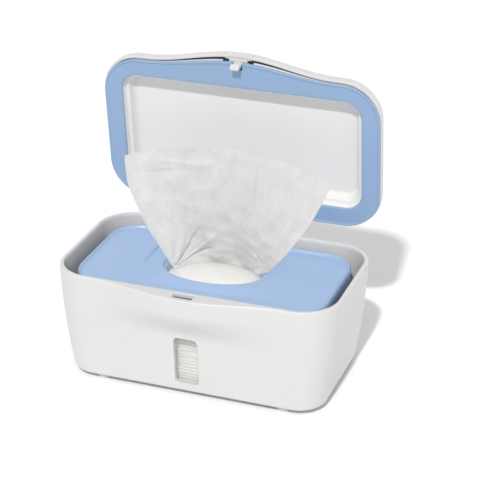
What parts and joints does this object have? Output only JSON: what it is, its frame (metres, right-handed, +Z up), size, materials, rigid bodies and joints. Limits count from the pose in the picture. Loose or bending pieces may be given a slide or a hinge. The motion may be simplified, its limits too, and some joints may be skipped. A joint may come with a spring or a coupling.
{
  "type": "wipes dispenser",
  "caption": "Tub for moist wipes with a sprung hinged lid, a sealing ring, a push-button latch, a level window and a weighted plate with an oval hole through which a wipe is pulled.",
  "frame": {"origin": "middle of the box round the whole dispenser with its lid open, on the surface that it stands on", "axes": "+X along the tub to the right seen from the front, +Y to the back where the hinge is, +Z up"},
  "size_m": [0.2296, 0.1558, 0.2423],
  "materials": {
    "white_shell": "satin moulded white plastic",
    "blue_plate": "fine matt moulded light blue plastic",
    "blue_seal": "soft matt light blue elastomer",
    "clear_window": "clear moulded plastic",
    "foot_rubber": "pale soft rubber",
    "steel": "plain steel",
    "wipe_stack": "folded non-woven cloth, cream in the shade",
    "wipe_cloth": "thin non-woven cloth, light shows through it"
  },
  "bodies": {
    "tub": {"tub": "white_shell", "window_pane": "clear_window", "foot_front_left": "foot_rubber", "foot_front_right": "foot_rubber", "foot_back_left": "foot_rubber", "foot_back_right": "foot_rubber", "wipe_stack": "wipe_stack", "plate_base": "white_shell", "plate_weight_left": "steel", "plate_weight_right": "steel", "plate_cover": "blue_plate", "pulled_wipe": "wipe_cloth", "hinge_pin_left": "steel", "lid_spring_left": "steel", "hinge_pin_right": "steel", "lid_spring_right": "steel"},
    "lid": {"lid_shell": "white_shell", "lid_pan": "white_shell", "lid_gasket": "blue_seal", "latch_spring": "steel"},
    "latch": {"latch_button": "white_shell"}
  },
  "joints": [
    {"name": "lid_hinge", "type": "hinge", "parent": "tub", "child": "lid", "pos_m": [0, 0.06693, 0.0969], "axis": [1, 0, 0], "range_deg": [0, 84], "stiffness_Nm_per_rad": 0.08, "springref_deg": -34.38, "deforming": ["pulled_wipe"]},
    {"name": "button_press", "type": "slide", "parent": "lid", "child": "latch", "axis": [0, 0.1045, -0.9945], "range_m": [0, 0.0025], "stiffness_N_per_m": 150, "springref_m": -0.001, "deforming": ["latch_spring"]}
  ]
}
